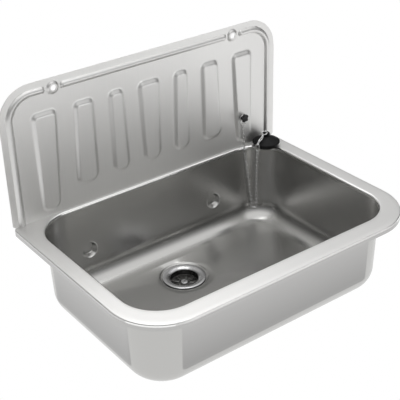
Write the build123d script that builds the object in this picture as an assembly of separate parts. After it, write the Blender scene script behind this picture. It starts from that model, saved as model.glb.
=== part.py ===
from build123d import *
import math
import os

# A wall-hung slop sink of pressed stainless sheet: a rimmed bowl, a ribbed splash panel, a strainer
# waste and a rubber plug on a chain. Millimetres. X runs along the wall, +Y into it and +Z up. The
# origin is on the wall plane, at the middle of the sink, level with the top of the rim.

# Sheet and overall sizes
width = 500.0
depth = 343.0
splash_height = 215.0
sheet = 1.0

# Rim
side_rim = 26.0
front_rim = 32.0
ledge = 5.0
lip_height = 10.0
rim_front_radius = 80.0
rim_back_radius = 6.0
rim_edge_radius = 2.2
mouth_radius = 3.5

# Bowl, measured inside
bowl_depth = 136.0
opening_radius = 59.0
draft = 4.5
floor_fillet = 34.0
floor_fall = 3.0
floor_margin = 1.5

# Drain and the two spacer dishes, which the photograph shows a little left of the middle
fitting_line = -9.0
drain_setback = 87.5
seat_radius = 38.0
seat_depth = 2.5
drain_hole_radius = 28.0
dish_half_spacing = 122.0
dish_drop = 80.0
dish_mouth_radius = 13.5
dish_floor_radius = 8.5

# Splash panel
splash_corner_radius = 52.0
splash_tail = 22.0
tail_inset = 30.0
foot_chamfer = 3.0
bead_inset = 15.0
bead_height = 4.0
hole_inset = 88.0
bead_gap_inside = 17.0
bead_gap_outside = 18.0
hole_radius = 4.3
boss_radius = 10.0
boss_top_radius = 6.6
boss_height = 3.0

# Ribs: inner and outer edge at the top, the same at the foot, then the height of the foot. The
# outermost is measured inwards from the panel's side
rib_height = 4.5
rib_flank = 5.5
rib_top = 168.0
rib_top_radius = 10.0
rib_foot_radius = 14.5
short_foot = 33.0
long_foot = 8.0
outer_rib = (90.5, 48.5, 82.0, 49.5, long_foot)
ribs = [
    (-20.5, 20.5, -16.5, 16.5, short_foot),
    (46.0, 73.0, 42.0, 73.0, short_foot),
    (98.0, 132.5, 98.5, 138.0, short_foot),
    (*[width / 2 - edge for edge in outer_rib[:4]], long_foot),
]

# Strainer waste
flange_radius = 35.0
flange_edge = 1.2
seal_thickness = 1.0
seal_bore = 29.0
funnel_radius = 28.5
throat_radius = 22.5
funnel_drop = 3.0
strainer_depth = 11.0
cup_wall = 1.2
slot_count = 8
slot_inner = 8.0
slot_outer = 19.5
slot_width = 3.8
screw_radius = 3.0
screw_head_radius = 6.0
screw_head_height = 2.2
screw_length = 16.0
screw_slot_width = 1.4
screw_slot_depth = 1.2
body_seal_thickness = 3.0
body_flange_radius = 36.0
body_flange_thickness = 4.0
body_wall = 3.0
body_height = 14.0
tail_radius = 23.9
tail_bore = 19.5
tail_length = 30.0
hub_radius = 7.0
hub_height = 17.0
web_count = 3
web_thickness = 2.5
insert_radius = 4.5
insert_length = 11.0
fit_gap = 0.3
thread_gap = 0.05

# Chain rosette on the right-hand rib, and the wire triangle that hangs round its neck
rosette_inset = 71.1
rosette_z = 55.1
rosette_radius = 7.2
rosette_lobes = 5
rosette_lobe_radius = 2.6
rosette_turn = 28.0
rosette_thickness = 3.6
neck_radius = 3.2
neck_length = 5.4
rosette_screw_radius = 2.0
rosette_screw_head_radius = 3.6
rosette_screw_head_height = 2.0
rosette_screw_reach = 7.0
washer_radius = 5.0
washer_thickness = 0.8
hanger_wire = 1.5
hanger_half_width = 10.9
hanger_point = 18.4
hanger_bend = 5.5
hanger_tip = 1.9
hanger_shift = 1.4
hanger_lean = -5.0

# Plug, stored on the right-hand back corner of the rim
plug_inset = 36.0
plug_setback = 26.0
plug_foot_radius = 19.5
plug_seat_radius = 21.5
plug_flange_radius = 23.0
plug_seat_height = 6.5
plug_flange_thickness = 2.5
plug_cone_radius = 8.0
plug_cone_height = 9.0
plug_neck_radius = 5.4
plug_knob_radius = 6.4
plug_knob_height = 6.0
eye_wire = 1.2
eye_radius = 2.6
ring_wire = 1.2
ring_radius = 4.6
ring_reach = 10.4
ring_dip = 0.8

# Chain of oval links
link_wire = 1.3
link_pitch = 7.5
link_inner_width = 2.0
link_play = 0.2
link_end_steps = 4
connector_wire = 1.5
connector_length = 10.5
connector_inner_width = 5.0
hanger_links = 22
plug_links = 19
plain_link_count = 3

# The way the chain hangs: down from the rosette, and from the plug over its flange into the bowl.
# Both strands are measured inwards from the sink's right-hand side
hanger_way = [
    (70.6, -10.4, -2.0),
    (67.2, -16.6, -56.0),
    (64.7, -20.6, -95.0),
    (64.0, -21.4, -125.0),
]
strand_twist = 28.0
plug_way = [
    (12.5, 18.9),
    (24.7, 12.5),
    (26.3, 5.0),
]
plug_strand = [
    (60.7, -31.8, -12.0),
    (60.2, -29.6, -50.0),
    (59.9, -29.0, -85.0),
    (59.9, -29.0, -125.0),
]
strand_heading = 196.0

hole_half_spacing = width / 2 - hole_inset
bead_gap_start = hole_half_spacing - bead_gap_inside
bead_gap_end = hole_half_spacing + bead_gap_outside
opening_half = width / 2 - side_rim
opening_back = -(sheet + ledge)
opening_front = -(depth - front_rim)
drain_y = -drain_setback
seat_z = -(bowl_depth + floor_fall + seat_depth)
flange_z = seat_z + seal_thickness
rib_face = -(sheet + rib_height)
wire_y = rib_face - neck_length / 2
hanger_bar = neck_radius + fit_gap + hanger_wire / 2
hanger_slant = math.atan(hanger_half_width / (hanger_point + hanger_bar))
hanger_drop = hanger_point - hanger_tip * (1 / math.sin(hanger_slant) - 1)
rosette_x = width / 2 - rosette_inset
plug_x = width / 2 - plug_inset
plug_y = -plug_setback
knob_top = plug_seat_height + plug_flange_thickness + plug_cone_height + plug_knob_height


def rounded(half, front, back, radius, z):
    """A rounded rectangle, level at height z, between a front and a back edge."""
    return Pos(0, (front + back) / 2, z) * RectangleRounded(2 * half, back - front, radius)


def cone(x, y, z, foot, top, height):
    """An upright frustum that stands on z."""
    return Pos(x, y, z + height / 2) * Cone(foot, top, height)


def disc(x, y, z, radius, height):
    """An upright cylinder that stands on z."""
    return Pos(x, y, z + height / 2) * Cylinder(radius, height)


def peg(x, y, z, radius, length):
    """A cylinder along +Y that starts at y."""
    return Pos(x, y + length / 2, z) * Rot(90, 0, 0) * Cylinder(radius, length)


def bowl_form(grow):
    """The bowl's inside at grow 0, and its outer skin at grow equal to the sheet."""
    top = rounded(opening_half + grow, opening_front - grow, opening_back + grow, opening_radius + grow, 0)
    slope = math.degrees(math.atan(draft / bowl_depth))
    walls = extrude(top, -(bowl_depth + grow), taper=slope)
    form = fillet(walls.faces().sort_by(Axis.Z)[0].edges(), floor_fillet + grow)
    floor_z = -(bowl_depth + grow)
    inset = draft + floor_fillet + floor_margin
    half = opening_half - inset
    flat = rounded(half, opening_front + inset, opening_back - inset, opening_radius - inset, floor_z)
    low_z = floor_z - floor_fall
    form += loft([flat, Pos(fitting_line, drain_y, low_z) * Circle(seat_radius + 2)], ruled=True)
    seat_top = seat_radius + grow
    form += cone(fitting_line, drain_y, low_z - seat_depth, seat_top - 1, seat_top, seat_depth)
    for side in (-1, 1):
        form += dish(fitting_line + side * dish_half_spacing, grow)
    deck = Pos(0, -depth / 2, lip_height / 2 - grow) * Box(2 * width, 2 * depth, lip_height)
    form += deck
    return fillet(mouth_edges(form, -grow), mouth_radius - grow) - deck


def mouth_edges(form, z):
    """The edges at height z where the bowl's walls meet the rim."""
    found = []
    for edge in form.edges():
        spot = edge.center()
        if abs(spot.Z - z) < 0.01 and abs(spot.X) < width / 2 and -depth < spot.Y < 0:
            found.append(edge)
    return found


def dish(x, grow):
    """A spacer dish pressed back out of the bowl's rear wall until it meets the wall plane."""
    floor_y = grow - sheet
    mouth_y = opening_back - draft
    length = floor_y - mouth_y
    cone_along_y = Rot(-90, 0, 0) * Cone(dish_mouth_radius + grow, dish_floor_radius + grow, length)
    return Pos(x, mouth_y + length / 2, -dish_drop) * cone_along_y


def rim_form(inset):
    """The rim as a solid tray, pulled in by the inset all round and from above."""
    half = width / 2 - inset
    front = -(depth - inset)
    back = -(sheet + inset)
    plan = Pos(0, (front + back) / 2) * Rectangle(2 * half, back - front)
    plan = fillet(plan.vertices().group_by(Axis.Y)[0], rim_front_radius - inset)
    plan = fillet(plan.vertices().group_by(Axis.Y)[-1], rim_back_radius - inset)
    form = Pos(0, 0, -inset) * extrude(plan, -lip_height)
    top = form.faces().sort_by(Axis.Z)[-1]
    return fillet([e for e in top.edges() if e.center().Y < back - 1], rim_edge_radius - inset)


def basin():
    """Rim, turned-down lip, rear flange and bowl, pressed from one sheet."""
    shell = rim_form(0) - rim_form(sheet) + bowl_form(sheet) - bowl_form(0)
    return shell - disc(fitting_line, drain_y, seat_z - 2 * sheet, drain_hole_radius, 4 * sheet)


def rib_outline(inner_top, outer_top, inner_foot, outer_foot, foot, inset):
    """A rib's tapered outline with rounded ends, pulled in by the inset."""
    corners = [
        (inner_foot + inset, foot + inset),
        (outer_foot - inset, foot + inset),
        (outer_top - inset, rib_top - inset),
        (inner_top + inset, rib_top - inset),
    ]
    plan = Polygon(*corners, align=None)
    foot_radius_here = min(rib_foot_radius, (outer_foot - inner_foot) / 2 - 0.5) - inset
    plan = fillet(plan.vertices().group_by(Axis.Y)[0], foot_radius_here)
    return fillet(plan.vertices().group_by(Axis.Y)[-1], rib_top_radius - inset)


def rib_form(sizes):
    """A raised rib, from the panel's front face to its flat top."""
    foot = Plane.XZ.offset(sheet) * rib_outline(*sizes, 0)
    top = Plane.XZ.offset(sheet + rib_height) * rib_outline(*sizes, rib_flank)
    return loft([foot, top], ruled=True)


def boss_form(x):
    """The low round boss at a wall hole."""
    cone_forward = Rot(90, 0, 0) * Cone(boss_radius, boss_top_radius, boss_height)
    return Pos(x, -sheet - boss_height / 2, splash_height - bead_inset) * cone_forward


def bead_form(radius):
    """The bead's round bar: two corner lengths that run down the sides, and one along the top."""
    line_z = splash_height - bead_inset
    arc_radius = splash_corner_radius - bead_inset
    bend_x = width / 2 - splash_corner_radius
    bend_z = splash_height - splash_corner_radius
    bar = Pos(0, 0, line_z) * Rot(0, 90, 0) * Cylinder(radius, 2 * bead_gap_start)
    for side in (-1, 1):
        bar += Pos(side * bead_gap_start, 0, line_z) * Sphere(radius)
        bar += Pos(side * bead_gap_end, 0, line_z) * Sphere(radius)
        short = bend_x - bead_gap_end
        bar += Pos(side * (bead_gap_end + short / 2), 0, line_z) * Rot(0, 90, 0) * Cylinder(radius, short)
        start = Plane(origin=(side * bend_x, 0, line_z), z_dir=(side, 0, 0)) * Circle(radius)
        bend = revolve(start, Axis((side * bend_x, 0, bend_z), (0, side, 0)), 90)
        bar += bend
        bar += disc(side * (bend_x + arc_radius), 0, -bead_inset, radius, bend_z + bead_inset)
    return bar


def splash_panel():
    """The panel with its raised ribs, bead and bosses, each hollow behind as pressing leaves it."""
    plan = Pos(0, splash_height / 2) * Rectangle(width, splash_height)
    plan = fillet(plan.vertices().group_by(Axis.Y)[-1], splash_corner_radius)
    plan = chamfer(plan.vertices().group_by(Axis.Y)[0], foot_chamfer)
    plan += Pos(0, -splash_tail / 2) * Rectangle(width - 2 * tail_inset, splash_tail)
    panel = extrude(Plane.XZ * plan, sheet)
    forms = [boss_form(side * hole_half_spacing) for side in (-1, 1)]
    for number, sizes in enumerate(ribs):
        form = rib_form(sizes)
        forms.append(form)
        if number > 0:
            forms.append(mirror(form, Plane.YZ))
    room = Pos(0, -depth / 2, splash_height / 2) * Box(width, depth, splash_height)
    panel += bead_form(bead_height + sheet) & room
    for form in forms:
        panel += form
    panel -= bead_form(bead_height)
    for form in forms:
        panel -= Pos(0, sheet, 0) * form
    for side in (-1, 1):
        x = side * hole_half_spacing
        panel -= peg(x, -2 * boss_height, splash_height - bead_inset, hole_radius, 3 * boss_height)
    return panel - peg(rosette_x, -2 * rib_height, rosette_z, rosette_screw_radius + fit_gap, 2 * rib_height)


def revolved(points, x, y, z):
    """A solid turned round the upright axis through x and y, from radius and height pairs."""
    profile = Plane.XZ * Polygon(*points, align=None)
    return Pos(x, y, z) * revolve(profile, Axis.Z)


def waste_cup():
    """Flange, funnel and strainer floor, pressed in one with radial slots."""
    floor_under = -strainer_depth - cup_wall
    outside = throat_radius + cup_wall
    points = [
        (flange_radius, 0),
        (flange_radius, flange_edge / 2),
        (flange_radius - 1, flange_edge),
        (funnel_radius, flange_edge),
        (throat_radius, flange_edge - funnel_drop),
        (throat_radius, -strainer_depth),
        (0, -strainer_depth),
        (0, floor_under),
        (outside, floor_under),
        (outside, flange_edge - funnel_drop - cup_wall / 2),
        (funnel_radius + cup_wall / 4, 0),
    ]
    cup = revolved(points, fitting_line, drain_y, flange_z)
    slot = SlotOverall(slot_outer - slot_inner, slot_width)
    cutter = extrude(Pos((slot_outer + slot_inner) / 2, 0, 0) * slot, 4 * cup_wall)
    for turn in range(slot_count):
        place = Pos(fitting_line, drain_y, flange_z + floor_under - cup_wall)
        cup -= place * Rot(0, 0, 360 * turn / slot_count) * cutter
    return cup - disc(fitting_line, drain_y, flange_z + floor_under, screw_radius + fit_gap, 2 * cup_wall)


def drain_ring(z, outer, inner, height):
    """A flat ring about the drain's axis that stands on z."""
    return disc(fitting_line, drain_y, z, outer, height) - disc(fitting_line, drain_y, z, inner, height)


def waste_body():
    """Plastic body under the bowl, with webs to a hub and a threaded tail for the trap."""
    top = seat_z - sheet - body_seal_thickness
    hub_top = flange_z - strainer_depth - cup_wall
    cup_room = throat_radius + cup_wall + fit_gap
    low = top - body_height
    outer = [
        (0, 0),
        (body_flange_radius, 0),
        (body_flange_radius, -body_flange_thickness),
        (cup_room + body_wall, -body_flange_thickness - 1),
        (cup_room + body_wall, -body_height + 3),
        (tail_radius, -body_height),
        (tail_radius, -body_height - tail_length),
        (0, -body_height - tail_length),
    ]
    inner = [
        (0, 1),
        (cup_room, 1),
        (cup_room, -body_height + 3),
        (tail_bore, -body_height - 1),
        (tail_bore, -body_height - tail_length - 1),
        (0, -body_height - tail_length - 1),
    ]
    body = revolved(outer, fitting_line, drain_y, top) - revolved(inner, fitting_line, drain_y, top)
    hub = disc(fitting_line, drain_y, hub_top - hub_height, hub_radius, hub_height)
    web_height = low - (hub_top - hub_height)
    web_length = tail_bore + 0.5
    for turn in range(web_count):
        web = Pos(web_length / 2, 0, -web_height / 2) * Box(web_length, web_thickness, web_height)
        hub += Pos(fitting_line, drain_y, low) * Rot(0, 0, 360 * turn / web_count + 90) * web
    body += hub
    body -= disc(fitting_line, drain_y, hub_top - hub_height, insert_radius, insert_length)
    return body - disc(fitting_line, drain_y, hub_top - hub_height, screw_radius + fit_gap, hub_height)


def waste_screw():
    """The slotted strainer screw."""
    z = flange_z - strainer_depth
    head = disc(fitting_line, drain_y, z, screw_head_radius, screw_head_height)
    head = chamfer(head.edges().sort_by(Axis.Z)[-1], 0.9)
    groove = Box(2 * screw_head_radius + 1, screw_slot_width, 2 * screw_slot_depth)
    head -= Pos(fitting_line, drain_y, z + screw_head_height) * Rot(0, 0, 30) * groove
    return head + disc(fitting_line, drain_y, z - screw_length, screw_radius, screw_length)


def rosette():
    """Lobed plastic cap on a neck, bored from behind for its screw."""
    lobe_line = rosette_radius - rosette_lobe_radius
    lobe = Pos(lobe_line, 0) * Circle(rosette_lobe_radius)
    plan = Circle(lobe_line + 1.0)
    for turn in range(rosette_lobes):
        plan += Rot(0, 0, rosette_turn + 360 * turn / rosette_lobes) * lobe
    cap = extrude(plan, rosette_thickness)
    cap = chamfer(cap.faces().sort_by(Axis.Z)[-1].edges(), 0.9)
    place = Plane(origin=(rosette_x, rib_face - neck_length, rosette_z), x_dir=(1, 0, 0), z_dir=(0, -1, 0))
    body = place * cap + peg(rosette_x, rib_face - neck_length, rosette_z, neck_radius, neck_length)
    bore = rosette_screw_radius + thread_gap
    return body - peg(rosette_x, rib_face - rosette_screw_reach - 1, rosette_z, bore, rosette_screw_reach + 1)


def rosette_screw():
    """The screw that reaches the rosette from behind the rib."""
    seat_y = rib_face + sheet + washer_thickness
    head = peg(rosette_x, seat_y, rosette_z, rosette_screw_head_radius, rosette_screw_head_height)
    reach = rosette_screw_reach + sheet + washer_thickness
    return head + peg(rosette_x, seat_y - reach, rosette_z, rosette_screw_radius, reach)


def rosette_washer():
    """The washer between that screw's head and the back of the rib."""
    y = rib_face + sheet
    outer = peg(rosette_x, y, rosette_z, washer_radius, washer_thickness)
    return outer - peg(rosette_x, y, rosette_z, rosette_screw_radius + fit_gap, washer_thickness)


def hanger_place():
    """The hanger's plane, turned by its lean about the rosette's neck."""
    face = Plane(origin=(rosette_x, wire_y, rosette_z), x_dir=(1, 0, 0), z_dir=(0, -1, 0))
    return face * Rot(0, 0, hanger_lean) * Pos(hanger_shift, 0)


def chain_hanger():
    """A closed wire triangle with round shoulders, hung over the rosette's neck point down."""
    plan = Polygon(
        (-hanger_half_width, hanger_bar),
        (hanger_half_width, hanger_bar),
        (0, -hanger_point),
        align=None,
    )
    plan = fillet(plan.vertices().group_by(Axis.Y)[-1], hanger_bend)
    plan = fillet(plan.vertices().group_by(Axis.Y)[0], hanger_tip)
    path = hanger_place() * plan.wire()
    section = Plane(origin=path @ 0, z_dir=path % 0) * RegularPolygon(hanger_wire / 2, 6)
    return sweep(section, path)


def plug():
    """Rubber plug: tapered foot, flange, cone and knob, with a pocket for the wire eye."""
    flange_top = plug_seat_height + plug_flange_thickness
    cone_top = flange_top + plug_cone_height
    points = [
        (0, 0),
        (plug_foot_radius - 1, 0),
        (plug_foot_radius, 1),
        (plug_seat_radius, plug_seat_height),
        (plug_flange_radius, plug_seat_height),
        (plug_flange_radius, flange_top - 0.8),
        (plug_flange_radius - 0.8, flange_top),
        (plug_cone_radius, cone_top - 1.5),
        (plug_neck_radius, cone_top),
        (plug_knob_radius, cone_top + 1.5),
        (plug_knob_radius, knob_top - 2),
        (plug_knob_radius - 2, knob_top),
        (0, knob_top),
    ]
    return revolved(points, plug_x, plug_y, 0) - plug_eye()


def plug_heading(radius, z):
    """The point at this distance from the plug's axis on the side where the chain leaves it."""
    heading = Vector(1, 0, 0).rotate(Axis.Z, strand_heading)
    return Vector(plug_x, plug_y, z) + heading * radius


def wire_ring(radius, wire):
    """A closed ring of six-sided wire in the XY plane."""
    section = Plane.XZ * Pos(radius, 0) * RegularPolygon(wire / 2, 6)
    return revolve(section, Axis.Z)


def plug_eye():
    """The wire eye moulded into the knob's top."""
    lift = Plane(origin=(plug_x, plug_y, knob_top + 1.0), x_dir=(0, 0, 1), z_dir=across_strand())
    return lift * wire_ring(eye_radius, eye_wire)


def across_strand():
    """Level direction square to the plug's strand."""
    return Vector(0, 1, 0).rotate(Axis.Z, strand_heading)


def ring_ends():
    """The ring's inner end, in the eye, and its outer end, from which the chain hangs."""
    outer = plug_heading(ring_reach, knob_top - ring_dip)
    inner = plug_heading(0.9, knob_top + 1.7)
    way = (outer - inner).normalized()
    return inner, inner + way * 2 * ring_radius


def plug_ring():
    """The split ring that lies over the knob, through the eye."""
    inner, outer = ring_ends()
    normal = across_strand().cross(outer - inner)
    place = Plane(origin=(inner + outer) / 2, x_dir=across_strand(), z_dir=normal)
    return place * wire_ring(ring_radius, ring_wire)


def oval_ring(wire, inner_length, inner_width):
    """A chain link with six-sided wire, long way along X, in the XY plane."""
    bend = (inner_width + wire) / 2
    run = (inner_length - inner_width) / 2
    stations = []
    for end in (0, 180):
        for step in range(link_end_steps + 1):
            turn = end - 90 + 180 * step / link_end_steps
            stations.append((Pos(run if end == 0 else -run, 0, 0) * Rot(0, 0, turn)))
    rows = []
    for station in stations:
        row = []
        for corner in range(6):
            spot = Vector(wire / 2, 0, 0).rotate(Axis.Y, 60 * corner) + Vector(bend, 0, 0)
            row.append((station * Pos(spot)).position)
        rows.append(row)
    faces = []
    for number, row in enumerate(rows):
        after = rows[(number + 1) % len(rows)]
        for corner in range(6):
            beside = (corner + 1) % 6
            outline = [row[corner], after[corner], after[beside], row[beside]]
            faces.append(Face(Wire.make_polygon(outline, close=True)))
    return Solid(Shell(faces))


def pins(way, spans):
    """Points along a curve, each at its own straight distance from the one before."""
    found = [way @ 0]
    at = 0.0
    for span in spans:
        low = at
        high = 1.0
        for _ in range(40):
            middle = (low + high) / 2
            if (way @ middle - found[-1]).length < span or middle < at + 1e-4:
                low = middle
            else:
                high = middle
        at = high
        found.append(way @ at)
    return found


def place_link(shape, first, second, across, edgewise):
    """Lay a link between two pins, on its edge or flat along the level direction across the way."""
    along = (second - first).normalized()
    level = (across - along * across.dot(along)).normalized()
    normal = level if edgewise else along.cross(level)
    return Plane(origin=(first + second) / 2, x_dir=along, z_dir=normal) * shape


edge_span = link_pitch - link_wire - 2 * link_play
flat_span = link_pitch + link_wire
link = oval_ring(link_wire, link_pitch, link_inner_width)
connector = oval_ring(connector_wire, connector_length, connector_inner_width)


def hanger_chain():
    """The strand that hangs from the wire triangle, and the level link at the loop's bottom."""
    start = (hanger_place() * Pos(0, -hanger_drop)).position
    way = Spline(start, *[(width / 2 - x, y, z) for x, y, z in hanger_way])
    spans = [edge_span if number % 2 == 0 else flat_span for number in range(hanger_links - 1)]
    spans[0] -= (hanger_wire - link_wire) / 2
    spots = pins(way, spans)
    heading = Vector(0, -1, 0).rotate(Axis.Z, strand_twist)
    spots.append(spots[-1] + heading * flat_span)
    links = []
    for number in range(hanger_links):
        twist = strand_twist * min(1, number / 8)
        across = Vector(1, 0, 0).rotate(Axis.Z, twist)
        links.append(place_link(link, spots[number], spots[number + 1], across, number % 2 == 0))
    return links


def plug_chain():
    """The strand from the ring, over the plug's flange and down to the loop's bottom."""
    start = ring_ends()[1]
    over = [plug_heading(radius, z) for radius, z in plug_way]
    way = Spline(start, *over, *[(width / 2 - x, y, z) for x, y, z in plug_strand])
    spans = [edge_span if number % 2 == 0 else flat_span for number in range(plug_links)]
    spans[plain_link_count] = connector_length + connector_wire
    for beside in (plain_link_count - 1, plain_link_count + 1):
        spans[beside] -= (connector_wire - link_wire) / 2
    spots = pins(way, spans)
    links = []
    for number in range(plug_links):
        shape = connector if number == plain_link_count else link
        links.append(place_link(shape, spots[number], spots[number + 1], across_strand(), number % 2 == 0))
    return links


hanger_strand = hanger_chain()
plug_strand_links = plug_chain()
connector_link = plug_strand_links.pop(plain_link_count)
body_top = seat_z - sheet - body_seal_thickness
hub_foot = flange_z - strainer_depth - cup_wall - hub_height
insert_outer = insert_radius - thread_gap
insert_bore = screw_radius + thread_gap

nodes = {
    "basin": basin(),
    "splash_panel": splash_panel(),
    "waste_cup": waste_cup(),
    "cup_seal": drain_ring(seat_z, flange_radius, seal_bore, seal_thickness),
    "waste_body": waste_body(),
    "body_seal": drain_ring(body_top, body_flange_radius, drain_hole_radius, body_seal_thickness),
    "waste_screw": waste_screw(),
    "screw_insert": drain_ring(hub_foot, insert_outer, insert_bore, insert_length),
    "rosette": rosette(),
    "rosette_screw": rosette_screw(),
    "rosette_washer": rosette_washer(),
    "chain_hanger": chain_hanger(),
    "hanger_chain": Compound(hanger_strand),
    "plug": plug(),
    "plug_eye": plug_eye(),
    "plug_ring": plug_ring(),
    "connector_link": connector_link,
    "plug_chain": Compound(plug_strand_links),
}

os.makedirs("parts", exist_ok=True)
for name, shape in nodes.items():
    export_step(shape, f"parts/{name}.step")
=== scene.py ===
import math

import bmesh
import bpy
import numpy as np
from mathutils import Matrix, Vector


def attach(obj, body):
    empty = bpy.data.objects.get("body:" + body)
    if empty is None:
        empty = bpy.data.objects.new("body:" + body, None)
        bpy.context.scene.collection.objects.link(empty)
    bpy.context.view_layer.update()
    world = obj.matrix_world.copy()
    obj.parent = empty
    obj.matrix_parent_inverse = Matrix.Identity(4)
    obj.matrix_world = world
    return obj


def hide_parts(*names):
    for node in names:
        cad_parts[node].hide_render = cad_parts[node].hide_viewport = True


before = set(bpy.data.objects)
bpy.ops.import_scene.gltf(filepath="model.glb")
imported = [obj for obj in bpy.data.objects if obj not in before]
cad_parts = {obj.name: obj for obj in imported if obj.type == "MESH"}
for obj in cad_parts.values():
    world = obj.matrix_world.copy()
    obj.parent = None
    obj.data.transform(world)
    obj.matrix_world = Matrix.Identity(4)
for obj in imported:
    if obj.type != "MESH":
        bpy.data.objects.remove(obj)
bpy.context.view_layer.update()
MM = 0.001

# Camera at the photograph's viewing angle
CAMERA_PLACE = (-0.747984, -1.145663, 0.723804)
CAMERA_RIGHT = (0.7978589, -0.6022845, -0.0259715)
CAMERA_UP = (0.3132886, 0.3774426, 0.8714283)
CAMERA_AHEAD = (0.5150450, 0.7034135, -0.4898348)
CAMERA_LENS = 87.0

# Sheet and rim, in millimetres
WIDTH, DEPTH, SPLASH = 500.0, 343.0, 215.0
SHEET = 1.0
SIDE_RIM, FRONT_RIM, LEDGE, LIP = 26.0, 32.0, 5.0, 10.0
RIM_FRONT, RIM_BACK, RIM_EDGE, MOUTH = 80.0, 6.0, 2.2, 3.5
# Bowl
BOWL, OPENING_CORNER, DRAFT = 136.0, 59.0, 4.5
FLOOR_BEND, FLOOR_FALL, FLOOR_MARGIN = 34.0, 3.0, 1.5
DRAIN = (-9.0, -87.5)
SEAT, SEAT_DEPTH, DRAIN_HOLE = 38.0, 2.5, 28.0
DISHES = ((-131.0, -80.0), (113.0, -80.0))
DISH_MOUTH, DISH_FLOOR, DISH_ROUND = 13.5, 8.5, 0.12
NEAR_WALL = 14.0
# Splash panel
SPLASH_CORNER, TAIL, TAIL_INSET, FOOT_CHAMFER = 52.0, 22.0, 30.0, 3.0
BEAD_INSET, BEAD, BEAD_GAP = 15.0, 4.0, (145.0, 180.0)
HOLE_X, HOLE = 162.0, 4.3
BOSS, BOSS_TOP, BOSS_HEIGHT = 10.0, 6.6, 3.0
RIB, RIB_FLANK, RIB_TOP = 4.5, 5.5, 168.0
RIB_TOP_BEND, RIB_FOOT_BEND = 10.0, 14.5
RIBS = (
    (-20.5, 20.5, -16.5, 16.5, 33.0),
    (46.0, 73.0, 42.0, 73.0, 33.0),
    (98.0, 132.5, 98.5, 138.0, 33.0),
    (159.5, 201.5, 168.0, 200.5, 8.0),
)
# Wire triangle: its corners about the rosette's neck, the bends at them, and how it hangs
NECK = (178.9, -8.2, 55.1)
HANGER_CORNERS = ((-10.9, 4.25), (10.9, 4.25), (0, -18.4))
HANGER_BENDS, HANGER_WIRE = (5.5, 5.5, 1.9), 1.5
HANGER_SHIFT, HANGER_LEAN = 1.4, -5.0
# Links: inner length, inner width and wire
STRAND_LINK, CONNECTOR = (7.5, 2.0, 1.3), (10.5, 5.0, 1.5)
PLUG_RING, PLUG_EYE = (8.0, 8.0, 1.2), (4.0, 4.0, 1.2)


class Value:
    """A shader socket that takes part in arithmetic."""

    def __init__(self, finish, socket):
        self.finish = finish
        self.socket = socket

    def _math(self, operation, *values, clamp=False):
        return self.finish.add("ShaderNodeMath", {"operation": operation, "use_clamp": clamp}, *values)

    def __add__(self, other):
        return self._math("ADD", self, other)

    __radd__ = __add__

    def __sub__(self, other):
        return self._math("SUBTRACT", self, other)

    def __rsub__(self, other):
        return self._math("SUBTRACT", other, self)

    def __mul__(self, other):
        return self._math("MULTIPLY", self, other)

    __rmul__ = __mul__

    def __pow__(self, other):
        return self._math("POWER", self, other)

    def clamped(self):
        return self._math("ADD", self, 0.0, clamp=True)

    def absolute(self):
        return self._math("ABSOLUTE", self)

    def most(self, other):
        return self._math("MAXIMUM", self, other)


class Finish:
    """A material under construction."""

    def __init__(self, name, **plain):
        self.material = bpy.data.materials.new(name)
        self.material.use_nodes = True
        self.tree = self.material.node_tree
        self.shader = self.tree.nodes["Principled BSDF"]
        for label, value in plain.items():
            self.shader.inputs[label.replace("_", " ").title()].default_value = value
        place = self.tree.nodes.new("ShaderNodeTexCoord")
        self.place = Value(self, place.outputs["Object"])

    def add(self, kind, settings, *values, out=0):
        """A node with its settings first, then the values or links of its sockets in order or by name."""
        node = self.tree.nodes.new(kind)
        for label, setting in settings.items():
            if label == "stops":
                self.set_stops(node.color_ramp, setting)
            else:
                setattr(node, label, setting)
        for number, value in enumerate(values):
            if isinstance(value, dict):
                for label, item in value.items():
                    self.feed(node.inputs[label], item)
            elif value is not None:
                self.feed(node.inputs[number], value)
        return Value(self, node.outputs[out])

    @staticmethod
    def set_stops(ramp, stops):
        while len(ramp.elements) < len(stops):
            ramp.elements.new(0.5)
        for element, (at, shade) in zip(ramp.elements, stops):
            element.position = at
            element.color = (shade, shade, shade, 1) if isinstance(shade, float) else (*shade, 1)

    def feed(self, socket, item):
        if isinstance(item, Value):
            self.tree.links.new(item.socket, socket)
        else:
            socket.default_value = item

    def set(self, label, item):
        self.feed(self.shader.inputs[label], item)
        return self

    def scaled(self, x, y, z):
        return self.add("ShaderNodeMapping", {}, self.place, None, None, (x, y, z))

    def noise(self, vector, scale, detail=2.0, rough=0.5):
        sizes = {"Vector": vector, "Scale": scale, "Detail": detail, "Roughness": rough}
        return self.add("ShaderNodeTexNoise", {}, sizes)

    def cells(self, vector, scale):
        return self.add("ShaderNodeTexVoronoi", {}, {"Vector": vector, "Scale": scale})

    def axes(self):
        """Object position as three numbers."""
        node = self.tree.nodes.new("ShaderNodeSeparateXYZ")
        self.tree.links.new(self.place.socket, node.inputs[0])
        return [Value(self, out) for out in node.outputs]

    def mix(self, amount, one, other):
        return self.add("ShaderNodeMix", {"data_type": "RGBA"}, {0: amount, 6: one, 7: other}, out=2)

    def bump(self, height, strength, distance):
        sizes = {"Height": height, "Strength": strength, "Distance": distance}
        return self.add("ShaderNodeBump", {}, sizes)

    def normal(self, height, strength, distance):
        return self.set("Normal", self.bump(height, strength, distance))


def grain(finish, along):
    """A hairline grain that runs along one axis, from 0 to 1."""
    fine, coarse = [2600.0] * 3, [700.0] * 3
    fine[along], coarse[along] = 26.0, 9.0
    hairs = finish.noise(finish.scaled(*fine), 1.0, 3.0)
    bands = finish.noise(finish.scaled(*coarse), 1.0, 2.0)
    return hairs * 0.6 + bands * 0.4


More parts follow.
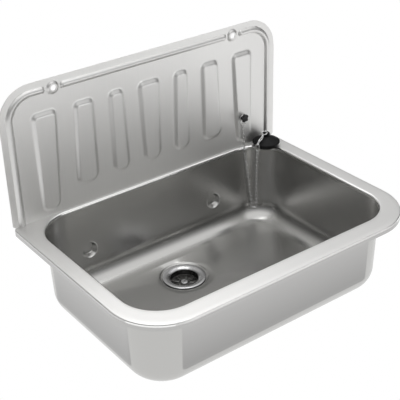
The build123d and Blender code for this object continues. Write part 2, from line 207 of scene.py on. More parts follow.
def shades(tone, spread):
    """A darker and a lighter colour on either side of a tone."""
    dark = tuple(part * (1 - spread) for part in tone) + (1,)
    light = tuple(min(1.0, part * (1 + spread)) for part in tone) + (1,)
    return dark, light


def basin_sheet():
    """Satin rim; a smoother drawn bowl whose darker tone is painted shade; a painted highlight as a
    brighter mouth and dish rims; painted shade on the outside, darker towards the foot.
    """
    finish = Finish("Brushed_basin", metallic=1.0)
    hairs = grain(finish, 0)
    clouds = finish.noise(finish.place, 9.0, 3.0)
    across, along, height = [part * 1000 for part in finish.axes()]
    bowl = ((-3.0 - height) * 0.5).clamped()
    # Painted highlight: the rounded mouth of the bowl and a ring round each dish mouth take a brighter,
    # smoother tone where the highlight falls.
    edge = ((height + 4.6) * 0.9).clamped() * ((-0.25 - height) * 4.0).clamped()
    edge = edge * (DEPTH - 5.0 + along).clamped() * (WIDTH / 2 - 5.0 - across.absolute()).clamped()
    near_wall = ((along + NEAR_WALL) * 0.5).clamped()
    for x, z in DISHES:
        reach = ((across - x) ** 2.0 + (height - z) ** 2.0) ** 0.5
        edge = edge.most((1.0 - (reach - DISH_MOUTH).absolute()).clamped() * near_wall)
    # The outside's painted shade covers the flat walls only, and not the rounded corners between them
    lean = height * (DRAFT / BOWL)
    outer = ((-DEPTH + FRONT_RIM - 0.4 - along - lean) * 3.0).clamped()
    side = ((across.absolute() - WIDTH / 2 + SIDE_RIM - 0.4 - lean) * 3.0).clamped()
    outside = outer.most(side) * bowl
    # Painted shade: the outside is darker than the rim, and darker still towards the foot.
    low = ((height + 30.0) * (-1 / 70.0)).clamped()
    outside_painted_shade = finish.mix(low, OUTSIDE_PAINTED_SHADE_TONE, FOOT_PAINTED_SHADE_TONE)
    satin = finish.mix(hairs, *shades(RIM_TONE, 0.04))
    # Painted shade: the drawn bowl's tone is darker than the rim's; its smoother roughness is its own
    # finish.
    drawn = finish.mix(hairs, *shades(BOWL_PAINTED_SHADE_TONE, 0.03))
    bright = finish.mix(hairs, *shades(PAINTED_HIGHLIGHT_TONE, 0.02))
    surface = finish.mix(outside, finish.mix(bowl, satin, drawn), outside_painted_shade)
    finish.set("Base Color", finish.mix(edge, surface, bright))
    even = RIM_ROUGH + (hairs - 0.5) * 0.14 + (clouds - 0.5) * 0.06
    smooth = BOWL_ROUGH + (hairs - 0.5) * 0.05 + (clouds - 0.5) * 0.05
    rough = even + (smooth - even) * bowl
    finish.set("Roughness", rough + (0.16 - rough) * edge)
    finish.normal(hairs * (1 - 0.85 * bowl) * (1 - edge), 0.10, 0.0004)
    return finish.material


def splash_sheet():
    """Upright satin grain, with the ribs and bead a little darker than the flats: painted shade."""
    finish = Finish("Brushed_splash", metallic=1.0)
    hairs = grain(finish, 2)
    clouds = finish.noise(finish.place, 9.0, 3.0)
    # Painted shade: the ribs and bead take a slightly darker tone than the flats.
    proud = ((-2.0 - finish.axes()[1] * 1000) * 0.4).clamped()
    flat = finish.mix(hairs, *shades(FLAT_TONE, 0.05))
    raised = finish.mix(hairs, *shades(RAISED_PAINTED_SHADE_TONE, 0.05))
    finish.set("Base Color", finish.mix(proud, flat, raised))
    finish.set("Roughness", SPLASH_ROUGH + (hairs - 0.5) * 0.16 + (clouds - 0.5) * 0.08)
    finish.normal(hairs, 0.12, 0.0004)
    return finish.material


def polished_steel(name, tone, roughness):
    """Bright drawn steel with faint cloudy handling marks."""
    finish = Finish(name, metallic=1.0)
    clouds = finish.noise(finish.place, 60.0, 3.0)
    pits = finish.noise(finish.place, 900.0, 2.0)
    dark = tuple(part * 0.93 for part in tone) + (1,)
    finish.set("Base Color", finish.mix(clouds, dark, tone + (1,)))
    finish.set("Roughness", roughness + (clouds - 0.5) * 0.12 + (pits - 0.5) * 0.05)
    finish.normal(pits, 0.05, 0.0002)
    return finish.material


def strainer_steel():
    """A polished flange round a strainer basket whose deep inside is darkened: painted shade."""
    finish = Finish("Strainer_steel", metallic=1.0)
    clouds = finish.noise(finish.place, 60.0, 3.0)
    height = finish.axes()[2] * 1000
    # Painted shade: below the flange the basket turns dark.
    deep = ((-140.6 - height) * 0.5).clamped()
    clean = finish.mix(clouds, (0.58, 0.58, 0.59, 1), (0.66, 0.66, 0.67, 1))
    deep_painted_shade = finish.mix(clouds, (0.07, 0.07, 0.07, 1), (0.16, 0.155, 0.15, 1))
    finish.set("Base Color", finish.mix(deep, clean, deep_painted_shade))
    finish.set("Roughness", 0.2 + (clouds - 0.5) * 0.12 + deep * 0.08)
    finish.normal(clouds, 0.04, 0.0004)
    return finish.material


def black_rubber(name, tone, roughness):
    """Moulded rubber: fine pebble, dusty high spots and a soft sheen."""
    finish = Finish(name)
    finish.shader.inputs["Specular IOR Level"].default_value = 0.22
    pebble = finish.cells(finish.place, 1400.0)
    dust = finish.noise(finish.place, 140.0, 4.0)
    light = tuple(part * 2.0 + 0.002 for part in tone) + (1,)
    finish.set("Base Color", finish.mix((dust - 0.35).clamped(), tone + (1,), light))
    finish.set("Roughness", roughness + (dust - 0.5) * 0.2)
    finish.normal(pebble, 0.18, 0.0003)
    return finish.material


def moulded_plastic(name, tone, roughness):
    """Injection-moulded plastic with a fine eroded texture."""
    finish = Finish(name)
    texture = finish.noise(finish.place, 1500.0, 3.0)
    clouds = finish.noise(finish.place, 45.0, 2.0)
    dark = tuple(part * 0.88 for part in tone) + (1,)
    finish.set("Base Color", finish.mix(clouds, dark, tone + (1,)))
    finish.set("Roughness", roughness + (clouds - 0.5) * 0.12 + (texture - 0.5) * 0.08)
    finish.normal(texture, 0.15, 0.0002)
    return finish.material


def turned_brass(name):
    """Brass with fine turning rings."""
    finish = Finish(name, metallic=1.0)
    rings = finish.noise(finish.scaled(40.0, 40.0, 4000.0), 1.0, 2.0)
    finish.set("Base Color", finish.mix(rings, (0.62, 0.45, 0.2, 1), (0.78, 0.6, 0.32, 1)))
    finish.set("Roughness", 0.28 + (rings - 0.5) * 0.2)
    finish.normal(rings, 0.1, 0.0002)
    return finish.material


RIM_TONE, RIM_ROUGH = (0.78, 0.776, 0.765), 0.48
BOWL_PAINTED_SHADE_TONE, BOWL_ROUGH = (0.53, 0.527, 0.515), 0.25
PAINTED_HIGHLIGHT_TONE = (0.92, 0.92, 0.91)
OUTSIDE_PAINTED_SHADE_TONE, FOOT_PAINTED_SHADE_TONE = (0.50, 0.497, 0.49, 1), (0.36, 0.358, 0.352, 1)
FLAT_TONE, RAISED_PAINTED_SHADE_TONE = (0.82, 0.816, 0.804), (0.80, 0.796, 0.785)
SPLASH_ROUGH = 0.48
basin_finish = basin_sheet()
splash_finish = splash_sheet()
flange_finish = strainer_steel()
screw_finish = polished_steel("Polished_screws", (0.62, 0.62, 0.63), 0.2)
chain_finish = polished_steel("Plated_chain", (0.92, 0.92, 0.92), 0.08)
plug_finish = black_rubber("Plug_rubber", (0.004, 0.004, 0.0045), 0.5)
seal_finish = black_rubber("Seal_rubber", (0.03, 0.03, 0.03), 0.6)
rosette_finish = moulded_plastic("Black_plastic", (0.006, 0.006, 0.007), 0.42)
body_finish = moulded_plastic("White_plastic", (0.78, 0.78, 0.76), 0.4)
brass_finish = turned_brass("Turned_brass")


def dress(name, mesh, finish, body, slot, *nodes, angle=40):
    """Show a mesh in its finish, on its body, in place of its nodes."""
    mesh.update()
    mesh.validate()
    mesh.materials.clear()
    mesh.materials.append(finish)
    mesh.shade_smooth()
    mesh.set_sharp_from_angle(angle=math.radians(angle))
    shown = bpy.data.objects.new(name, mesh)
    bpy.context.scene.collection.objects.link(shown)
    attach(shown, body)
    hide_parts(*nodes)
    return shown


def turned_outward(mesh):
    """Recalculate the mesh's normals."""
    shape = bmesh.new()
    shape.from_mesh(mesh)
    bmesh.ops.recalc_face_normals(shape, faces=shape.faces)
    shape.to_mesh(mesh)
    shape.free()


# Rounded outlines, all with the same count of points in the same order
FRONT_STEPS, SIDE_STEPS, CORNER_STEPS = 40, 30, 18
# Level loops at the rim's edge, the mouth, the bend into the floor and the floor itself
EDGE_STEPS, MOUTH_STEPS, BEND_STEPS, FLOOR_STEPS = 5, 7, 16, 18


def spaced(start, end, centres, reach, fine, coarse):
    """Numbers from start to end, closer together within reach of each centre."""
    found = [start]
    while found[-1] < end - fine / 2:
        near = any(abs(found[-1] + fine - centre) < reach for centre in centres)
        found.append(found[-1] + (fine if near else coarse))
    found[-1] = end
    return found


BACK_REACH = WIDTH / 2 - SIDE_RIM - OPENING_CORNER
BACK_STOPS = [
    0.5 + x / (2 * BACK_REACH)
    for x in spaced(-BACK_REACH, BACK_REACH, [x for x, _ in DISHES], DISH_MOUTH + 3, 0.9, 4.0)
]


def outline(half, front, back, front_bend, back_bend):
    """A rounded rectangle as x and y, from the back's left end round by the right."""
    points = []
    side = [step / SIDE_STEPS for step in range(SIDE_STEPS)]
    before = [step / FRONT_STEPS for step in range(FRONT_STEPS)]
    corners = (
        (half - back_bend, back - back_bend, back_bend, 90, BACK_STOPS[:-1]),
        (half - front_bend, front + front_bend, front_bend, 0, side),
        (-half + front_bend, front + front_bend, front_bend, -90, before),
        (-half + back_bend, back - back_bend, back_bend, -180, side),
    )
    last = (-half + back_bend, back)
    for x, y, bend, start, stops in corners:
        turn = math.radians(start)
        first = (x + bend * math.cos(turn), y + bend * math.sin(turn))
        for t in stops:
            points.append((last[0] + (first[0] - last[0]) * t, last[1] + (first[1] - last[1]) * t))
        for step in range(CORNER_STEPS):
            turn = math.radians(start - 90 * step / CORNER_STEPS)
            points.append((x + bend * math.cos(turn), y + bend * math.sin(turn)))
        turn = math.radians(start - 90)
        last = (x + bend * math.cos(turn), y + bend * math.sin(turn))
    return np.array(points)


def wall_outline(z, inset, grow):
    """The bowl's outline at height z, pulled in by the inset."""
    inset = inset - grow - DRAFT * z / BOWL
    half = WIDTH / 2 - SIDE_RIM - inset
    bend = OPENING_CORNER - inset
    return outline(half, inset - DEPTH + FRONT_RIM, -SHEET - LEDGE - inset, bend, bend)


def rim_outline(inset):
    """The rim's outline, pulled in by the inset on all sides but the back.

    The back keeps its y, so the two skins coincide there and the rear lip has no thickness.
    """
    half = WIDTH / 2 - inset
    return outline(half, -(DEPTH - inset), -SHEET, RIM_FRONT - inset, RIM_BACK - inset)


def eased(t, bend):
    """A ramp from 0 to 1 with a short round at both ends."""
    t = np.clip(t, 0, 1)
    steep = 1 / (1 - bend)
    low = steep * t * t / (2 * bend)
    high = 1 - steep * (1 - t) ** 2 / (2 * bend)
    return np.where(t < bend, low, np.where(t > 1 - bend, high, steep * (t - bend / 2)))


def quarter(steps, first=0):
    """The angles of a quarter turn in equal steps."""
    return [math.radians(90 * step / steps) for step in range(first, steps + 1)]


def skin(grow):
    """One side of the sheet as a list of level loops, from the lip's foot to the drain hole."""
    loops = []

    def put(plan, z):
        loops.append(np.column_stack([plan, np.full(len(plan), z)]))

    put(rim_outline(grow), -LIP)
    edge = RIM_EDGE - grow
    for turn in quarter(EDGE_STEPS):
        put(rim_outline(grow + edge * (1 - math.cos(turn))), -grow - edge * (1 - math.sin(turn)))
    mouth = MOUTH - grow
    wide = wall_outline(0, -mouth, grow)
    for t in (0.25, 0.5, 0.75):
        put(rim_outline(RIM_EDGE) * (1 - t) + wide * t, -grow)
    for turn in quarter(MOUTH_STEPS):
        z = -grow - mouth * (1 - math.cos(turn))
        put(wall_outline(z + grow, -mouth * (1 - math.sin(turn)), grow), z)
    bend = FLOOR_BEND
    top = -grow - mouth
    foot = -(BOWL - bend)
    for z in spaced(-top, -foot, [-DISHES[0][1]], DISH_MOUTH + 3, 0.9, 3.0)[1:]:
        put(wall_outline(-z, 0, grow), -z)
    for turn in quarter(BEND_STEPS, 1):
        inset = bend * (1 - math.cos(turn)) + grow * (math.cos(turn) - 1)
        z = foot - (bend + grow) * math.sin(turn)
        put(wall_outline(foot, inset, grow), z)
    flat = loops[-1][:, :2]
    middle = np.array(DRAIN)
    heading = flat - middle
    heading /= np.linalg.norm(heading, axis=1)[:, None]
    around = middle + heading * (SEAT + 2 + grow * 0.5)
    for step in range(1, FLOOR_STEPS + 1):
        t = step / FLOOR_STEPS
        put(flat * (1 - t) + around * t, -(BOWL + grow) - FLOOR_FALL * t)
    low = -(BOWL + FLOOR_FALL + grow)
    seat = (
        (SEAT + 1.2, 0.5),
        (SEAT + 0.5, SEAT_DEPTH - 0.4),
        (SEAT - 0.6, SEAT_DEPTH),
        (33, SEAT_DEPTH),
        (DRAIN_HOLE, SEAT_DEPTH),
    )
    for radius, drop in seat:
        put(middle + heading * radius, low - drop)
    loops = np.array(loops)
    for x, z in DISHES:
        reach = np.hypot(loops[:, :, 0] - x, loops[:, :, 2] - z)
        behind = (reach < DISH_MOUTH + grow) & (loops[:, :, 1] > -NEAR_WALL)
        slope = eased((DISH_MOUTH + grow - reach) / (DISH_MOUTH - DISH_FLOOR), DISH_ROUND)
        wall_y = loops[:, :, 1]
        loops[:, :, 1] = np.where(behind, wall_y + slope * (grow - SHEET - wall_y), wall_y)
    return loops


def basin():
    """The basin as two skins of closed loops, joined at the lip and at the drain hole."""
    loops = np.concatenate([skin(0.0), skin(SHEET)[::-1]])
    rows, columns, _ = loops.shape
    index = np.arange(rows * columns).reshape(rows, columns)
    below = np.roll(index, -1, axis=0)
    faces = np.stack(
        [index, np.roll(index, -1, axis=1), np.roll(below, -1, axis=1), below], axis=-1
    ).reshape(-1, 4)
    mesh = bpy.data.meshes.new("Basin")
    mesh.from_pydata((loops.reshape(-1, 3) * MM).tolist(), [], faces.tolist())
    turned_outward(mesh)
    return dress("Basin", mesh, basin_finish, "sink", "sheet", "basin", angle=50)


def rib_depth(x, z, sizes):
    """How far inside a rib's outline a point lies."""
    inner_top, outer_top, inner_foot, outer_foot, foot = sizes
    rise = RIB_TOP - foot

    def side(foot_x, top_x, sign):
        lean = math.hypot(rise, top_x - foot_x)
        return sign * ((x - foot_x) * rise - (z - foot) * (top_x - foot_x)) / lean

    left = side(inner_foot, inner_top, 1)
    right = side(outer_foot, outer_top, -1)
    beside = np.minimum(left, right)
    found = beside
    foot_bend = min(RIB_FOOT_BEND, (outer_foot - inner_foot) / 2 - 0.5)
    for end, bend in ((RIB_TOP - z, RIB_TOP_BEND), (z - foot, foot_bend)):
        corner = (beside < bend) & (end < bend)
        rounded = bend - np.hypot(bend - beside, bend - end)
        found = np.where(corner, np.minimum(found, rounded), np.minimum(found, end))
    return found


def soft(t):
    """A pressed step's profile: straight in the middle, rounded at both ends."""
    t = np.clip(t, 0, 1)
    return 0.35 * t + 0.65 * t * t * (3 - 2 * t)


def bead_distance(x, z):
    """Distance from the bead's middle line."""
    x = np.abs(x)
    line_z = SPLASH - BEAD_INSET
    bend_x, bend_z = WIDTH / 2 - SPLASH_CORNER, SPLASH - SPLASH_CORNER
    bend = SPLASH_CORNER - BEAD_INSET
    middle = np.hypot(np.maximum(x - BEAD_GAP[0], 0), z - line_z)
    run = np.hypot(x - np.clip(x, BEAD_GAP[1], bend_x), z - line_z)
    arc = np.abs(np.hypot(x - bend_x, z - bend_z) - bend)
    arc = np.where((x >= bend_x) & (z >= bend_z), arc, 99)
    down = np.where(z <= bend_z, np.abs(x - (bend_x + bend)), 99)
    return np.minimum(np.minimum(middle, run), np.minimum(arc, down))


def relief(x, z):
    """Height of the pressed forms over the panel's flat."""
    high = np.zeros_like(x)
    for number, sizes in enumerate(RIBS):
        for side in (1, -1) if number else (1,):
            high = np.maximum(high, RIB * soft(rib_depth(side * x, z, sizes) / RIB_FLANK))
    bead = np.clip(1 - (bead_distance(x, z) / (BEAD + SHEET)) ** 2, 0, 1)
    high = np.maximum(high, BEAD * bead ** 0.8)
    reach = np.hypot(np.abs(x) - HOLE_X, z - (SPLASH - BEAD_INSET))
    return np.maximum(high, BOSS_HEIGHT * soft((BOSS - reach) / (BOSS - BOSS_TOP)))


SIDE_BAND = 22.0


def splash_grid():
    """A grid over the panel as x and z, finer at its edges, and its cells outside the wall holes."""
    half = WIDTH / 2
    stops = np.concatenate([
        np.linspace(0, BEAD_GAP[0], 76)[:-1],
        np.linspace(BEAD_GAP[0], BEAD_GAP[1], 36)[:-1],
        np.linspace(BEAD_GAP[1], half - SIDE_BAND, 25)[:-1],
        half - SIDE_BAND * np.cos(np.linspace(0, math.pi / 2, 18)),
    ])
    stops = np.unique(np.round(stops, 4))
    across = np.concatenate([-stops[:0:-1], stops])
    up = np.concatenate([
        np.linspace(0, 0.86, 90)[:-1],
        np.linspace(0.86, 1, 31),
    ])
    x = np.repeat(across[None, :], len(up), axis=0)
    top = SPLASH - SPLASH_CORNER + np.sqrt(
        np.maximum(SPLASH_CORNER ** 2 - np.maximum(np.abs(x) - (half - SPLASH_CORNER), 0) ** 2, 0)
    )
    low = np.maximum(0, np.abs(x) - (half - FOOT_CHAMFER))
    z = low + (top - low) * up[:, None]
    keep = np.ones((len(up) - 1, len(across) - 1), bool)
    for side in (-1, 1):
        middle_x = (x[:-1, :-1] + x[1:, 1:]) / 2 - side * HOLE_X
        middle_z = (z[:-1, :-1] + z[1:, 1:]) / 2 - (SPLASH - BEAD_INSET)
        keep &= np.hypot(middle_x, middle_z) > HOLE
    rows, columns = x.shape
    used = np.zeros_like(x, int)
    for a in (0, 1):
        for b in (0, 1):
            used[a:rows - 1 + a, b:columns - 1 + b] += keep
    for side in (-1, 1):
        dx = x - side * HOLE_X
        dz = z - (SPLASH - BEAD_INSET)
        reach = np.hypot(dx, dz)
        rim = (used > 0) & (used < 4) & (reach < 2 * HOLE)
        x = np.where(rim, side * HOLE_X + dx / np.maximum(reach, 0.1) * HOLE, x)
        z = np.where(rim, SPLASH - BEAD_INSET + dz / np.maximum(reach, 0.1) * HOLE, z)
    return x, z, keep


def add_sheet(shape, front, back, quads):
    """Front and back faces with the same corners, and a wall round every free edge."""
    count = len(front)
    corners = [shape.verts.new(v * MM) for v in np.concatenate([front, back])]
    for quad in quads:
        shape.faces.new([corners[i] for i in quad])
        shape.faces.new([corners[i + count] for i in quad[::-1]])
    edges = {}
    for quad in quads.tolist():
        for a, b in zip(quad, quad[1:] + quad[:1]):
            if (b, a) in edges:
                del edges[(b, a)]
            else:
                edges[(a, b)] = True
    for a, b in edges:
        shape.faces.new([corners[b], corners[a], corners[a + count], corners[b + count]])


def splash():
    """The splash panel: a fine grid that follows the pressed forms, and its tail as a plain box."""
    x, z, keep = splash_grid()
    high = relief(x, z)
    front = np.stack([x, -SHEET - high, z], -1).reshape(-1, 3)
    back = np.stack([x, -high, z], -1).reshape(-1, 3)
    index = np.arange(x.size).reshape(x.shape)
    quads = np.stack([index[:-1, :-1], index[:-1, 1:], index[1:, 1:], index[1:, :-1]], -1)[keep]
    shape = bmesh.new()
    add_sheet(shape, front, back, quads)
    tail = WIDTH / 2 - TAIL_INSET
    for vert in bmesh.ops.create_cube(shape, size=1.0)["verts"]:
        vert.co = Vector((
            vert.co.x * 2 * tail * MM,
            (vert.co.y * SHEET - SHEET / 2) * MM,
            (vert.co.z * TAIL - TAIL / 2) * MM,
        ))
    bmesh.ops.delete(shape, geom=[v for v in shape.verts if not v.link_faces], context="VERTS")
    bmesh.ops.recalc_face_normals(shape, faces=shape.faces)
    mesh = bpy.data.meshes.new("Splash_panel")
    shape.to_mesh(mesh)
    shape.free()
    return dress("Splash_panel", mesh, splash_finish, "sink", "sheet", "splash_panel", angle=50)


def clean_copy(node, bevel=0.0, segments=2):
    """A node's mesh with its loose triangles merged, flats joined and edges softened."""
    shape = bmesh.new()
    shape.from_mesh(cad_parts[node].data)
    bmesh.ops.remove_doubles(shape, verts=shape.verts, dist=1e-6)
    bmesh.ops.dissolve_limit(
        shape, angle_limit=math.radians(0.5), verts=shape.verts, edges=shape.edges
    )
    if bevel:
        sharp = [e for e in shape.edges if e.is_manifold and e.calc_face_angle() > math.radians(32)]
        bmesh.ops.bevel(
            shape, geom=sharp, offset=bevel * MM, segments=segments, profile=0.5,
            affect="EDGES", clamp_overlap=True,
        )
    bmesh.ops.triangulate(shape, faces=[f for f in shape.faces if len(f.verts) > 4])
    mesh = bpy.data.meshes.new(node + "_shape")
    shape.to_mesh(mesh)
    shape.free()
    return mesh


def link_places(node):
    """Middle, long direction and flat direction of each link in a chain's solid."""
    shape = bmesh.new()
    shape.from_mesh(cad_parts[node].data)
    bmesh.ops.remove_doubles(shape, verts=shape.verts, dist=1e-6)
    left = set(shape.verts)
    places = []
    while left:
        group, edge = set(), [left.pop()]
        while edge:
            vert = edge.pop()
            group.add(vert)
            for line in vert.link_edges:
                other = line.other_vert(vert)
                if other in left:
                    left.discard(other)
                    edge.append(other)
        points = np.array([v.co[:] for v in group])
        middle = points.mean(0)
        _, _, axes = np.linalg.svd(points - middle)
        places.append((middle, axes[0], axes[2]))
    shape.free()
    return places


def link_tree():
    """Geometry nodes that set a round-wire oval on every point, turned by the point's own directions."""
    tree = bpy.data.node_groups.new("Chain_links", "GeometryNodeTree")
    sockets = (
        ("Points", "NodeSocketGeometry"),
        ("Inner length", "NodeSocketFloat"),
        ("Inner width", "NodeSocketFloat"),
        ("Wire", "NodeSocketFloat"),
        ("Finish", "NodeSocketMaterial"),
    )
    for label, kind in sockets:
        tree.interface.new_socket(label, in_out="INPUT", socket_type=kind)
    tree.interface.new_socket("Links", in_out="OUTPUT", socket_type="NodeSocketGeometry")
    given = tree.nodes.new("NodeGroupInput").outputs
    result = tree.nodes.new("NodeGroupOutput").inputs

    def add(kind, links, **settings):
        node = tree.nodes.new(kind)
        for label, setting in settings.items():
            setattr(node, label, setting)
        for label, item in links.items():
            socket = node.inputs[label]
            if isinstance(item, bpy.types.NodeSocket):
                tree.links.new(item, socket)
            else:
                socket.default_value = item
        return node

    def total(one, other, operation="ADD"):
        return add("ShaderNodeMath", {0: one, 1: other}, operation=operation).outputs[0]

    length = total(given["Inner length"], given["Wire"])
    breadth = total(given["Inner width"], given["Wire"])
    corners = add("GeometryNodeCurvePrimitiveQuadrilateral", {"Width": length, "Height": breadth})
    bend = total(breadth, 0.4999, "MULTIPLY")
    oval = add(
        "GeometryNodeFilletCurve",
        {"Curve": corners.outputs[0], "Radius": bend, "Count": 9, "Limit Radius": True},
        mode="POLY",
    )
    thick = total(given["Wire"], 0.5, "MULTIPLY")
    round_wire = add("GeometryNodeCurvePrimitiveCircle", {"Resolution": 14, "Radius": thick})
    wire = add(
        "GeometryNodeCurveToMesh",
        {"Curve": oval.outputs[0], "Profile Curve": round_wire.outputs[0]},
    )
    way, flat = [
        add("GeometryNodeInputNamedAttribute", {"Name": name}, data_type="FLOAT_VECTOR").outputs[0]
        for name in ("along", "flat")
    ]
    first = add("FunctionNodeAlignRotationToVector", {"Vector": way}, axis="X")
    turn = add(
        "FunctionNodeAlignRotationToVector",
        {"Rotation": first.outputs[0], "Vector": flat},
        axis="Z", pivot_axis="X",
    )
    placed = add(
        "GeometryNodeInstanceOnPoints",
        {"Points": given["Points"], "Instance": wire.outputs[0], "Rotation": turn.outputs[0]},
    )
    real = add("GeometryNodeRealizeInstances", {"Geometry": placed.outputs[0]})
    done = add(
        "GeometryNodeSetMaterial",
        {"Geometry": real.outputs[0], "Material": given["Finish"]},
    )
    tree.links.new(done.outputs[0], result[0])
    return tree


def wire_links(name, node, inner_length, inner_width, wire, body, tree):
    """Round-wire links in the places of a node's plain ones."""
    places = link_places(node)
    points = bpy.data.meshes.new(name + "_points")
    points.from_pydata([tuple(place[0]) for place in places], [], [])
    for number, label in ((1, "along"), (2, "flat")):
        values = points.attributes.new(label, "FLOAT_VECTOR", "POINT")
        for item, place in zip(values.data, places):
            item.vector = tuple(place[number])
    holder = bpy.data.objects.new(name + "_holder", points)
    bpy.context.scene.collection.objects.link(holder)
    modifier = holder.modifiers.new("Links", "NODES")
    modifier.node_group = tree
    given = {
        "Inner length": inner_length * MM,
        "Inner width": inner_width * MM,
        "Wire": wire * MM,
        "Finish": chain_finish,
    }
    for item in tree.interface.items_tree:
        if item.in_out == "INPUT" and item.name in given:
            modifier[item.identifier] = given[item.name]
    bpy.context.view_layer.update()
    graph = bpy.context.evaluated_depsgraph_get()
    mesh = bpy.data.meshes.new_from_object(holder.evaluated_get(graph))
    bpy.data.objects.remove(holder)
    return dress(name, mesh, chain_finish, body, "chain_chrome", node, angle=60)


def hanger():
    """The rosette's wire triangle with round shoulders, bent from round wire."""
    corners = [Vector(corner) for corner in HANGER_CORNERS]
    steps = 12
    route = []
    for number, (corner, bend) in enumerate(zip(corners, HANGER_BENDS)):
        before = (corners[number - 1] - corner).normalized()
        after = (corners[(number + 1) % 3] - corner).normalized()
        open_angle = before.angle(after) / 2
        middle = corner + (before + after).normalized() * bend / math.sin(open_angle)
        start = corner + before * bend / math.tan(open_angle) - middle
        finish = corner + after * bend / math.tan(open_angle) - middle
        for step in range(steps + 1):
            route.append(middle + start.slerp(finish, step / steps) * bend)
    lean = math.radians(HANGER_LEAN)
    curve = bpy.data.curves.new("Hanger_wire", "CURVE")
    curve.dimensions = "3D"
    curve.bevel_depth = HANGER_WIRE / 2 * MM
    curve.bevel_resolution = 5
    spline = curve.splines.new("POLY")
    spline.points.add(len(route) - 1)
    for point, spot in zip(spline.points, route):
        across = spot.x + HANGER_SHIFT
        x = across * math.cos(lean) - spot.y * math.sin(lean)
        z = across * math.sin(lean) + spot.y * math.cos(lean)
        point.co = ((NECK[0] + x) * MM, NECK[1] * MM, (NECK[2] + z) * MM, 1)
    spline.use_cyclic_u = True
    holder = bpy.data.objects.new("Hanger_holder", curve)
    bpy.context.scene.collection.objects.link(holder)
    graph = bpy.context.evaluated_depsgraph_get()
    mesh = bpy.data.meshes.new_from_object(holder.evaluated_get(graph))
    bpy.data.objects.remove(holder)
    return dress(
        "Chain_hanger", mesh, chain_finish, "hung_chain", "chain_chrome", "chain_hanger", angle=60
    )


basin()
splash()
tree = link_tree()
hanger()
wire_links("Hanger_chain", "hanger_chain", *STRAND_LINK, "hung_chain", tree)
wire_links("Plug_chain", "plug_chain", *STRAND_LINK, "plug_and_chain", tree)
wire_links("Connector_link", "connector_link", *CONNECTOR, "plug_and_chain", tree)
wire_links("Plug_ring", "plug_ring", *PLUG_RING, "plug_and_chain", tree)
wire_links("Plug_eye", "plug_eye", *PLUG_EYE, "plug_and_chain", tree)
kept_shapes = (
    ("Plug", "plug", 0.5, plug_finish, "plug_and_chain", "plug_rubber"),
    ("Waste_cup", "waste_cup", 0.3, flange_finish, "sink", "fitting_steel"),
    ("Waste_screw", "waste_screw", 0.2, screw_finish, "sink", "fitting_steel"),
    ("Waste_body", "waste_body", 0.4, body_finish, "sink", "body_plastic"),
    ("Screw_insert", "screw_insert", 0.2, brass_finish, "sink", "insert_brass"),
    ("Cup_seal", "cup_seal", 0.2, seal_finish, "sink", "seal_rubber"),
    ("Body_seal", "body_seal", 0.3, seal_finish, "sink", "seal_rubber"),
    ("Rosette", "rosette", 0.4, rosette_finish, "sink", "black_plastic"),
    ("Rosette_screw", "rosette_screw", 0.2, screw_finish, "sink", "fitting_steel"),
    ("Rosette_washer", "rosette_washer", 0.1, screw_finish, "sink", "fitting_steel"),
)
for name, node, bevel, finish, body, slot in kept_shapes:
    dress(name, clean_copy(node, bevel), finish, body, slot, node, angle=35)

# Camera
camera = bpy.data.cameras.new("Camera")
camera.lens = CAMERA_LENS
camera.sensor_width = 36
camera.clip_end = 30
eye = bpy.data.objects.new("Camera", camera)
bpy.context.scene.collection.objects.link(eye)
turn = Matrix((CAMERA_RIGHT, CAMERA_UP, [-part for part in CAMERA_AHEAD])).transposed()
eye.matrix_world = Matrix.Translation(CAMERA_PLACE) @ turn.to_4x4()
bpy.context.scene.camera = eye


def lamp(name, place, aim, size, power):
    """An area lamp that faces a point. Sizes are in metres and the power in watts."""
    light = bpy.data.lights.new(name, "AREA")
    light.shape = "RECTANGLE"
    light.size, light.size_y = size
    light.energy = power
    holder = bpy.data.objects.new(name, light)
    bpy.context.scene.collection.objects.link(holder)
    holder.location = place
    holder.rotation_euler = (Vector(aim) - Vector(place)).to_track_quat("-Z", "Y").to_euler()


def floor_finish():
    """White to the camera and to reflections, pale grey to everything else."""
    material = bpy.data.materials.new("Pale_floor")
    material.use_nodes = True
    tree = material.node_tree
    matt = tree.nodes["Principled BSDF"]
    matt.inputs["Base Color"].default_value = (0.8, 0.8, 0.8, 1)
    matt.inputs["Roughness"].default_value = 0.9
    white = tree.nodes.new("ShaderNodeEmission")
    path = tree.nodes.new("ShaderNodeLightPath")
    pick = tree.nodes.new("ShaderNodeMixShader")
    seen = tree.nodes.new("ShaderNodeMath")
    seen.operation = "MAXIMUM"
    tree.links.new(path.outputs["Is Camera Ray"], seen.inputs[0])
    tree.links.new(path.outputs["Is Glossy Ray"], seen.inputs[1])
    tree.links.new(seen.outputs[0], pick.inputs[0])
    tree.links.new(matt.outputs[0], pick.inputs[1])
    tree.links.new(white.outputs[0], pick.inputs[2])
    tree.links.new(pick.outputs[0], tree.nodes["Material Output"].inputs[0])
    return material


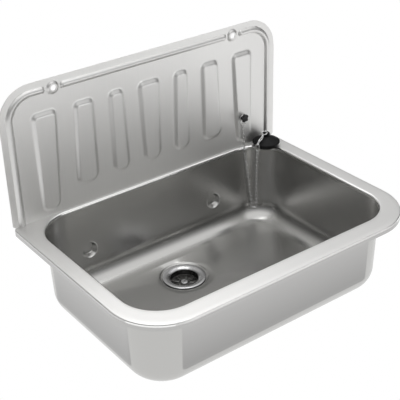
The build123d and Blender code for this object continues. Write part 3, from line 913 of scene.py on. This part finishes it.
# The studio's brightness from the horizon, at 0.5, up to straight overhead, at 1
SKY = [(0.5, 0.08), (0.70, 0.15), (0.745, 0.38), (0.80, 0.5), (0.86, 0.95), (1.0, 1.0)]
SKY_LEVEL = 1.1


def room():
    """A plain pale floor, and a studio whose upper part is light and whose sides fall off to grey."""
    bpy.ops.mesh.primitive_plane_add(size=12, location=(0, 0, -0.6))
    floor = bpy.context.object
    floor.name = "Floor"
    floor.data.materials.append(floor_finish())
    world = bpy.data.worlds.new("Studio")
    bpy.context.scene.world = world
    world.use_nodes = True
    tree = world.node_tree
    plain = tree.nodes["Background"]
    coordinate = tree.nodes.new("ShaderNodeTexCoord")
    split = tree.nodes.new("ShaderNodeSeparateXYZ")
    ramp = tree.nodes.new("ShaderNodeValToRGB")
    Finish.set_stops(ramp.color_ramp, SKY)
    scale = tree.nodes.new("ShaderNodeMapRange")
    scale.inputs["From Min"].default_value = -1
    tree.links.new(coordinate.outputs["Generated"], split.inputs[0])
    tree.links.new(split.outputs[2], scale.inputs["Value"])
    tree.links.new(scale.outputs[0], ramp.inputs[0])
    tree.links.new(ramp.outputs[0], plain.inputs[0])
    plain.inputs["Strength"].default_value = SKY_LEVEL
    white = tree.nodes.new("ShaderNodeBackground")
    path = tree.nodes.new("ShaderNodeLightPath")
    pick = tree.nodes.new("ShaderNodeMixShader")
    tree.links.new(path.outputs["Is Camera Ray"], pick.inputs[0])
    tree.links.new(plain.outputs[0], pick.inputs[1])
    tree.links.new(white.outputs[0], pick.inputs[2])
    tree.links.new(pick.outputs[0], tree.nodes["World Output"].inputs[0])


# Each lamp's name, place, the point it faces, size and power
LAMPS = (
    ("Overhead", (0.1, 0.2, 1.7), (0, -0.2, 0), (1.0, 0.7), 5),
    ("Behind", (0.55, 1.0, 1.5), (-0.1, -0.2, 0), (0.9, 0.9), 2.6),
    ("Front", (0.45, -1.5, 0.15), (0, 0, 0.1), (0.8, 0.5), 3.2),
)
room()
for settings in LAMPS:
    lamp(*settings)
bpy.context.scene.view_settings.view_transform = "Standard"
